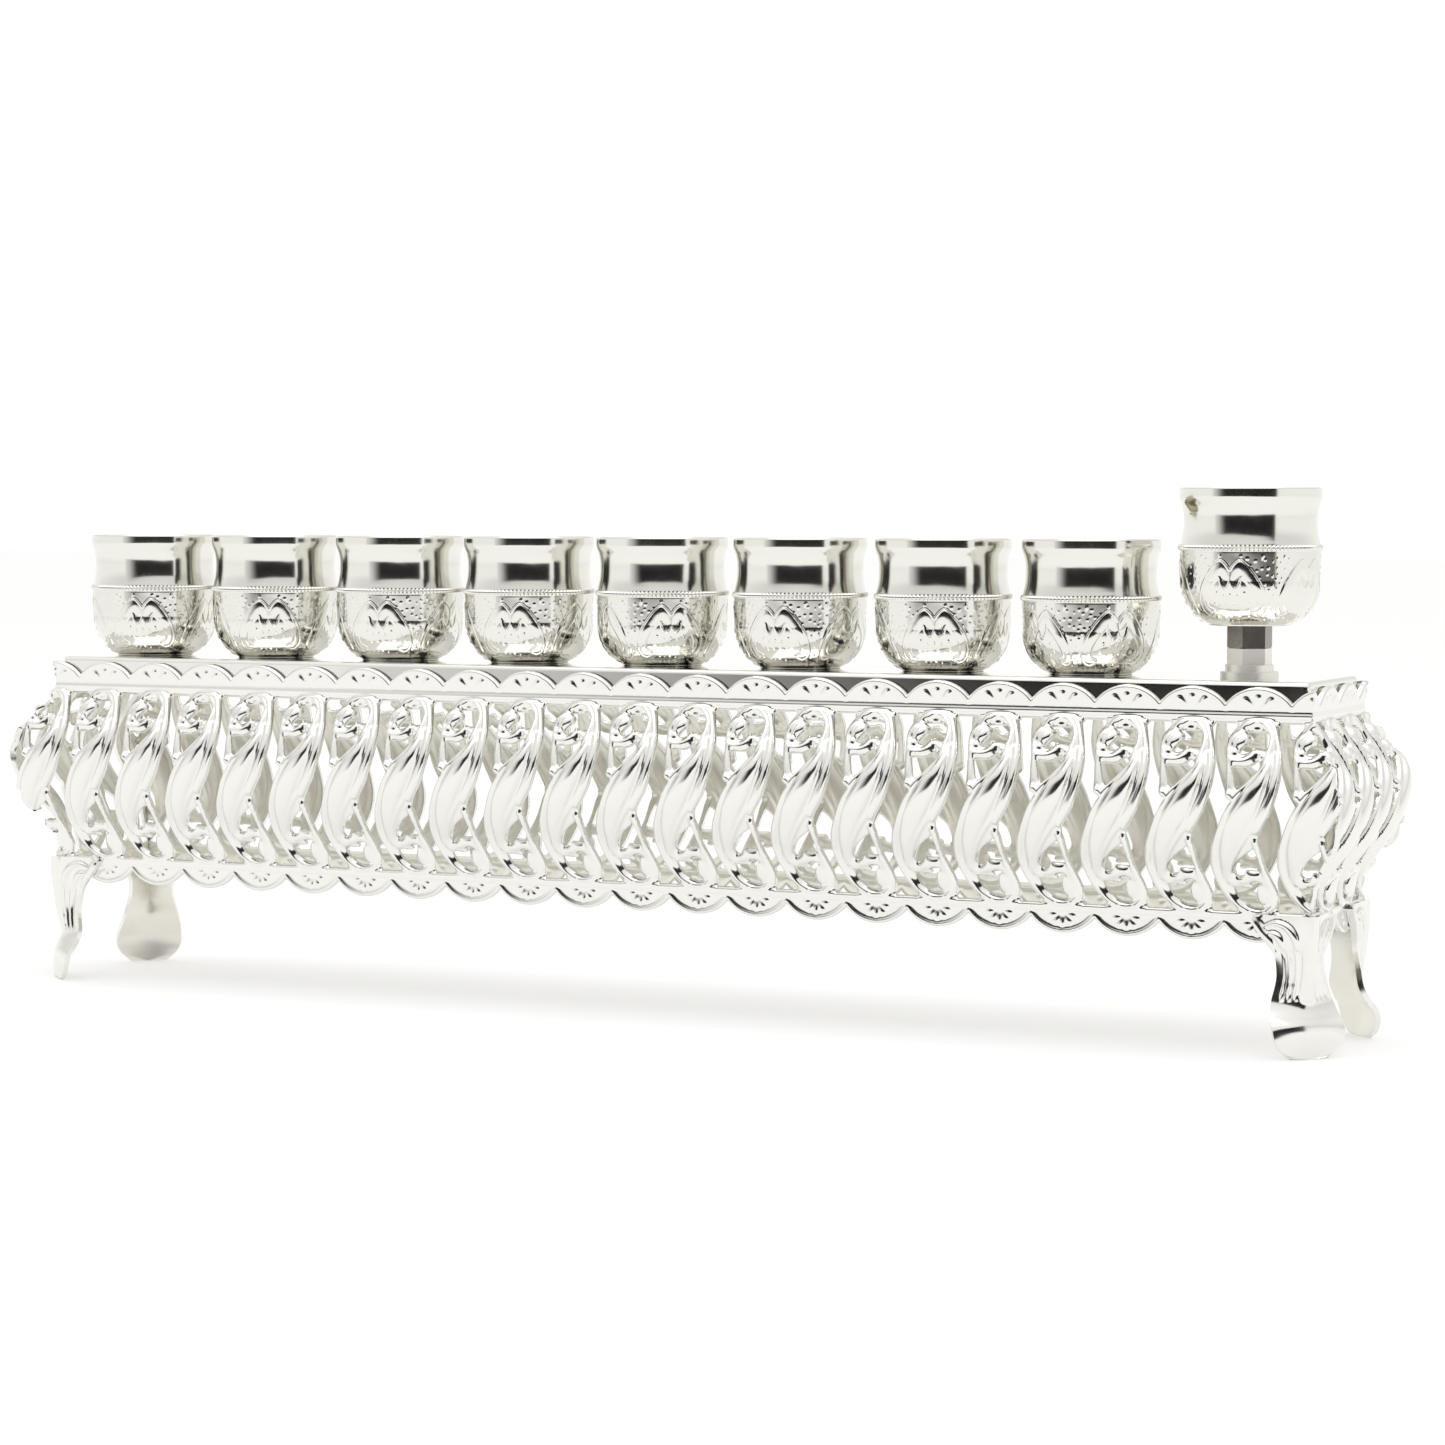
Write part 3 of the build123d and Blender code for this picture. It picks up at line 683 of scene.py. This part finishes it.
# twin arches, right half: around the cup at its wall, height above the base
OUTER_ARCH = [(0, 11.2), (0.9, 12.4), (2.15, 13.25), (3.4, 12.3), (4.8, 10.7),
              (6.2, 8.6), (7.0, 6.8), (7.5, 5.4), (7.7, 3.9), (7.3, 2.7), (5.95, 2.15),
              (4.5, 2.6)]
INNER_ARCH = [(0, 9.0), (0.5, 8.0), (1.15, 7.6), (1.9, 8.4), (2.4, 10.0), (3.6, 8.85),
              (4.7, 7.4), (5.5, 6.0), (5.85, 4.95), (5.7, 4.0), (5.1, 3.6), (4.4, 3.3)]
ARCH_RIBBON = [(0.5, 10.2, 0.9, 0.1), (2.2, 11.6, 1.5, 0.25), (3.9, 10.0, 1.4, 0.25),
               (5.4, 7.9, 1.1, 0.22), (6.3, 5.9, 1.0, 0.2), (6.8, 4.2, 0.9, 0.2),
               (6.2, 3.0, 0.8, 0.18), (4.9, 2.9, 0.4, 0.1)]
ARCH_DOTS = [(0.0, 6.3), (1.5, 6.1), (3.0, 6.7), (0.8, 4.6), (2.4, 4.4), (3.6, 4.9)]


def bowl_arc():
    """Radius of the bowl's section, and how far its centre lies from the axis."""
    step = WALL_RADIUS - BASE_RADIUS
    radius = (BOWL_HEIGHT**2 + step**2) / (2 * step)
    return radius, WALL_RADIUS - radius


def height_on_cup(length):
    """Height above the base of a point a length up the outer face from the base's edge."""
    radius, _ = bowl_arc()
    whole = radius * math.asin(BOWL_HEIGHT / radius)
    bend = (whole - np.minimum(length, whole)) / radius
    return BOWL_HEIGHT - radius * np.sin(bend) + np.maximum(length - whole, 0)


def cup_section():
    """Closed half section: radius, height, and length up the engraved outer face.

    In place of that length, other faces have PLAIN or TOOTHED. Gives as well the number
    of the point where the inner face starts.
    """
    radius, centre = bowl_arc()
    whole = radius * math.asin(BOWL_HEIGHT / radius)
    foot = [(CUP_HOLE, -0.04, PLAIN), (5.5, -0.04, PLAIN), (BASE_RADIUS + 0.2, -0.04, PLAIN),
            (BASE_RADIUS + 0.32, 0.05, PLAIN), (BASE_RADIUS + 0.38, 0.2, PLAIN),
            (BASE_RADIUS + 0.36, 0.36, PLAIN)]
    outer = []
    wall_end = RING_HEIGHT - 0.9
    for length in np.arange(0.5, whole + wall_end - BOWL_HEIGHT, ENGRAVED_STEP):
        height = float(height_on_cup(length))
        rise = max(BOWL_HEIGHT - height, 0)
        above = (wall_end - height) / (wall_end - BOWL_HEIGHT)
        taper = WALL_TAPER * min(above, 1.0, height / BOWL_HEIGHT)
        outer.append((centre + math.sqrt(radius**2 - rise**2) - taper, height, length))
    ring = [(14.2, 15.0, PLAIN), (14.24, 15.15, PLAIN), (14.32, 15.25, TOOTHED),
            (14.42, 15.4, TOOTHED), (14.46, 15.6, TOOTHED), (14.44, 15.8, TOOTHED),
            (14.34, 15.98, TOOTHED), (14.2, 16.1, TOOTHED), (14.12, 16.2, PLAIN)]
    waist = smooth_path([(radius_here, height, PLAIN) for radius_here, height in WAIST], steps=4)
    rim = [(14.36, 27.55, PLAIN), (14.25, 27.68, PLAIN), (14.0, CUP_HEIGHT, PLAIN),
           (13.75, 27.66, PLAIN), (13.62, 27.5, PLAIN)]
    back = [(r - CUP_SHEET, h, PLAIN) for r, h, _ in waist[::-2]]
    wall = [(WALL_RADIUS - CUP_SHEET, h, PLAIN) for h in (15.8, 13.0, 11.0, BOWL_HEIGHT)]
    inner_radius = radius - CUP_SHEET
    last = math.asin((BOWL_HEIGHT - CUP_SHEET) / inner_radius)
    bowl = [(centre + inner_radius * math.cos(a), BOWL_HEIGHT - inner_radius * math.sin(a), PLAIN)
            for a in np.linspace(0, last, 14)[1:]]
    floor = [(5.5, CUP_SHEET, PLAIN), (CUP_HOLE, CUP_SHEET, PLAIN)]
    shown = [*foot, *outer, *ring, *waist, *rim]
    return np.array([*shown, *back, *wall, *bowl, *floor]), len(shown) - 1


def cup_relief(around, height):
    """Height of the engraved arches and of the punched dots, over one fifth of a cup."""
    side = np.abs(around)
    relief = stroke(side, height, ARCH_RIBBON)
    relief = blend_max(relief, line(side, height, OUTER_ARCH, 0.23, 0.22), 0.04)
    relief = blend_max(relief, line(side, height, INNER_ARCH, 0.22, 0.2), 0.04)
    relief = blend_max(relief, line(side, height, [(0, 11.2), (0, 9.0)], 0.2, 0.2), 0.04)
    for dot in ARCH_DOTS:
        relief = np.maximum(relief, mound(side, height, dot, (0.3, 0.3), 0.12))
    for centre in (-6.6, -2.2, 2.2, 6.6):
        mark = [(centre, 13.5, 0.14, 0.08), (centre + 0.1, 14.1, 0.24, 0.14)]
        relief = np.maximum(relief, stroke(around, height, mark))
    draws = np.random.default_rng(5)
    width = 2 * math.pi * WALL_RADIUS / MOTIFS_ROUND
    placed = []
    for _ in range(1200):
        x, y = draws.uniform(-width / 2, width / 2), draws.uniform(0.8, 13.6)
        size, rise = draws.uniform(0.2, 0.3), draws.uniform(0.06, 0.13)
        within = y > 2.2 and abs(x) < np.interp(y, [2.2, 5, 8, 10.5, 13], [8.1, 7.9, 6.9, 5.2, 2.8])
        crowded = any(math.hypot(x - px, y - py) < DOT_GAP for px, py in placed)
        if not within and not crowded:
            placed.append((x, y))
            relief = np.maximum(relief, mound(around, height, (x, y), (size, size), rise))
    return relief


def add_cups():
    section, inside = cup_section()
    count, columns = len(section), CUP_COLUMNS
    angle = np.arange(columns) * 2 * math.pi / columns
    fifth = 2 * math.pi / MOTIFS_ROUND
    around = ((angle + fifth / 2) % fifth - fifth / 2) * WALL_RADIUS
    around = np.repeat(around[:, None], count, axis=1)
    radius = np.broadcast_to(section[:, 0], around.shape).copy()
    height = np.broadcast_to(section[:, 1], around.shape).copy()
    following, before = np.roll(section, -1, axis=0), np.roll(section, 1, axis=0)
    slope = following[:, :2] - before[:, :2]
    slope /= np.linalg.norm(slope, axis=1, keepdims=True)
    lift = np.zeros(around.shape)
    engraved = section[:, 2] > 0
    lift[:, engraved] = cup_relief(around[:, engraved], height[:, engraved])
    wave = np.cos(angle * RING_TEETH)[:, None]
    lift[:, section[:, 2] == TOOTHED] += TOOTH_WAVE * wave - 0.04
    radius += lift * slope[:, 1]
    height -= lift * slope[:, 0]
    points = np.stack([radius * np.cos(angle)[:, None], radius * np.sin(angle)[:, None],
                       height], -1).reshape(-1, 3)
    number = np.arange(columns * count).reshape(columns, count)
    right = np.roll(number, -1, axis=0)
    above, right_above = np.roll(number, -1, axis=1), np.roll(right, -1, axis=1)
    faces = np.stack([number, right, right_above, above], -1)
    groups = [faces[:, :inside].reshape(-1, 4), faces[:, inside:].reshape(-1, 4)]
    mesh = add_mesh("cup", points, groups, [SILVER_CUP, CUP_INSIDE], [0, 1], crease=45.0)
    nodes = [f"cup_{k + 1}" for k in range(len(CUP_TURNS) - 1)] + ["shamash_cup"]
    for node, turn in zip(nodes, CUP_TURNS):
        low, high = box_mm(node)
        piece = add_object(f"engraved_{node}", mesh, turn,
                           ((low[0] + high[0]) / 2, (low[1] + high[1]) / 2, low[2]))
        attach(piece, f"{node}_turning")
        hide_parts(node)


# ---- kept CAD nodes -----------------------------------------------------------------
def dress(node, material):
    """Gives a CAD node its material."""
    made = frame["nodes"][node]
    made.data.materials.clear()
    made.data.materials.append(material)


add_galleries()
add_feet()
add_cups()
dress("top_plate", SILVER_PLATE)
for fastener in ("cup_screws", "cup_washers", "cup_nuts", "shamash_screw",
                 "shamash_washer", "shamash_lower_nut"):
    dress(fastener, NICKEL)
dress("shamash_upper_nut", STEEL)
dress("shamash_flange_nut", NICKEL)


# ---- studio -------------------------------------------------------------------------
STUDIO_WHITE = (1.0, 0.995, 0.98, 1.0)
FLOOR_SIZE = 6.0
CAMERA_PLACE = Vector((0.3695, -0.7438, 0.1103))
CAMERA_YAW, CAMERA_PITCH = 25.67, 3.34          # degrees: towards -X, and down
CAMERA_LENS = 95.3
# brightness of the surroundings, by the sine of the angle above the horizon
SKY_STOPS = [(0.0, 1.04), (0.14, 1.04), (0.34, 0.80), (0.6, 0.98), (1.0, 1.12)]
CARD_DISTANCE = 0.62                            # dark card round the object's front
CARD_FOOT, CARD_HEIGHT = 0.008, 0.30            # its lower edge above the floor, and height
CARD_TURNS = (-126.0, -24.0)                    # its ends, in degrees about the object
CARD_COLUMNS = 48
CARD_FADE_TURN, CARD_FADE_HEIGHT = 24.0, 0.028  # where its left end and its foot fade
OVERHEAD_PLACE, OVERHEAD_TARGET = (0.1, -0.2, 1.4), (0, 0, 0.05)
OVERHEAD_SIZE, OVERHEAD_WATTS = (1.6, 1.2), 7.5


def flat_material(name, colour, glow=0.0):
    """Matt material without gloss, and with a glow of its own."""
    material = bpy.data.materials.new(name)
    material.use_nodes = True
    shader = material.node_tree.nodes["Principled BSDF"]
    shader.inputs["Base Color"].default_value = (*colour, 1.0)
    shader.inputs["Roughness"].default_value = 1.0
    shader.inputs["Specular IOR Level"].default_value = 0.0
    shader.inputs["Emission Color"].default_value = STUDIO_WHITE
    shader.inputs["Emission Strength"].default_value = glow
    return material


def add_floor():
    size = FLOOR_SIZE
    mesh = bpy.data.meshes.new("floor")
    mesh.from_pydata([(-size, -size, 0), (size, -size, 0), (size, size, 0), (-size, size, 0)],
                     [], [(0, 1, 2, 3)])
    mesh.materials.append(flat_material("floor_white", (0.46, 0.46, 0.46), glow=0.53))
    floor = bpy.data.objects.new("floor", mesh)
    bpy.context.scene.collection.objects.link(floor)


def card_material():
    """Black, fading to white towards the card's left end and its foot."""
    material = flat_material("card_black", (0.012, 0.011, 0.010))
    nodes, links = material.node_tree.nodes, material.node_tree.links
    shader = nodes["Principled BSDF"]
    place = nodes.new("ShaderNodeTexCoord")
    apart = nodes.new("ShaderNodeSeparateXYZ")
    links.new(place.outputs["UV"], apart.inputs["Vector"])
    shares = []
    for axis, end in (("X", CARD_FADE_TURN / (CARD_TURNS[1] - CARD_TURNS[0])),
                      ("Y", CARD_FADE_HEIGHT / CARD_HEIGHT)):
        fade = nodes.new("ShaderNodeMapRange")
        fade.interpolation_type = "SMOOTHSTEP"
        fade.inputs["From Max"].default_value = end
        links.new(apart.outputs[axis], fade.inputs["Value"])
        shares.append(fade.outputs["Result"])
    both = nodes.new("ShaderNodeMath")
    both.operation = "MULTIPLY"
    links.new(shares[0], both.inputs[0])
    links.new(shares[1], both.inputs[1])
    mix = nodes.new("ShaderNodeMapRange")
    mix.inputs["To Min"].default_value = 0.75
    mix.inputs["To Max"].default_value = 0.0
    links.new(both.outputs["Value"], mix.inputs["Value"])
    links.new(mix.outputs["Result"], shader.inputs["Emission Strength"])
    return material


def add_card():
    """Dark card round the camera's side, for the dark reflections in the silver."""
    columns = CARD_COLUMNS
    turns = [math.radians(t) for t in np.linspace(*CARD_TURNS, columns + 1)]
    levels = (CARD_FOOT, CARD_FOOT + CARD_HEIGHT)
    points = [(CARD_DISTANCE * math.cos(a), CARD_DISTANCE * math.sin(a), level)
              for level in levels for a in turns]
    faces = [(k, k + 1, k + columns + 2, k + columns + 1) for k in range(columns)]
    mesh = bpy.data.meshes.new("dark_card")
    mesh.from_pydata(points, [], faces)
    layer = mesh.uv_layers.new(name="card")
    for loop in mesh.loops:
        row, column = divmod(loop.vertex_index, columns + 1)
        layer.data[loop.index].uv = (column / columns, row)
    mesh.materials.append(card_material())
    card = bpy.data.objects.new("dark_card", mesh)
    card.visible_camera = False
    card.visible_shadow = False
    card.visible_diffuse = False
    bpy.context.scene.collection.objects.link(card)


def add_light(name, place, target, size, power):
    data = bpy.data.lights.new(name, "AREA")
    data.shape = "RECTANGLE"
    data.size, data.size_y = size
    data.energy = power
    light = bpy.data.objects.new(name, data)
    light.location = place
    light.rotation_mode = "QUATERNION"
    light.rotation_quaternion = (Vector(target) - Vector(place)).to_track_quat("-Z", "Y")
    bpy.context.scene.collection.objects.link(light)


def add_camera():
    data = bpy.data.cameras.new("camera")
    data.lens = CAMERA_LENS
    data.sensor_width = 36.0
    camera = bpy.data.objects.new("camera", data)
    camera.location = CAMERA_PLACE
    camera.rotation_euler = (math.radians(90 - CAMERA_PITCH), 0, math.radians(CAMERA_YAW))
    bpy.context.scene.collection.objects.link(camera)
    bpy.context.scene.camera = camera


def light_world():
    """White surroundings, a little greyer between the horizon and the overhead light."""
    world = bpy.data.worlds.new("studio")
    bpy.context.scene.world = world
    world.use_nodes = True
    nodes, links = world.node_tree.nodes, world.node_tree.links
    sky = nodes["Background"]
    sky.inputs["Color"].default_value = STUDIO_WHITE
    place = nodes.new("ShaderNodeTexCoord")
    apart = nodes.new("ShaderNodeSeparateXYZ")
    ramp = nodes.new("ShaderNodeValToRGB")
    stops = ramp.color_ramp.elements
    stops[0].position, stops[1].position = SKY_STOPS[0][0], SKY_STOPS[-1][0]
    for where, _ in SKY_STOPS[1:-1]:
        stops.new(where)
    for stop, (_, level) in zip(stops, SKY_STOPS):
        stop.color = (level, level, level, 1.0)
    links.new(place.outputs["Generated"], apart.inputs["Vector"])
    links.new(apart.outputs["Z"], ramp.inputs["Fac"])
    links.new(ramp.outputs["Color"], sky.inputs["Strength"])


bpy.context.scene.view_settings.view_transform = "Standard"
light_world()
add_floor()
add_card()
add_light("overhead", OVERHEAD_PLACE, OVERHEAD_TARGET, OVERHEAD_SIZE, OVERHEAD_WATTS)
add_camera()
